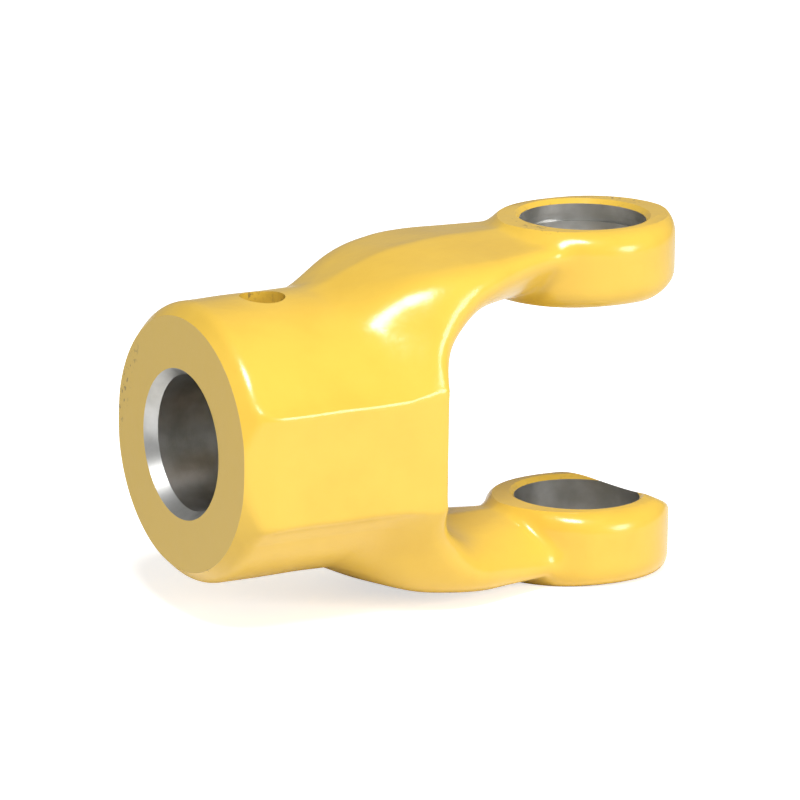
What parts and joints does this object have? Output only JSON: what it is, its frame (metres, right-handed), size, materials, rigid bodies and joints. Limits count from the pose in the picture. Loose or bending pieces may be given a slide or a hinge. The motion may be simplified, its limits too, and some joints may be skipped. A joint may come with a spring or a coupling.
{
  "type": "forged yoke",
  "caption": "Forged driveline fork: bored round hub with side pads and a cross pin hole, opening into two drafted arms with bored eyes for a joint cross.",
  "frame": {"origin": "the joint's centre, where the eyes' common bore axis crosses the hub's axis", "axes": "+X along the hub bore towards the eyes, +Z along the eyes' bores, +Y across the fork; the die parting plane is Y = 0"},
  "size_m": [0.1215, 0.0604, 0.0804],
  "materials": {
    "yellow_paint": "gloss enamel over as-forged skin, worn thin along machined edges",
    "machined_steel": "bare fine-turned bores and mouths"
  },
  "bodies": {
    "root": {"forged_yoke": "yellow_paint"}
  },
  "joints": []
}
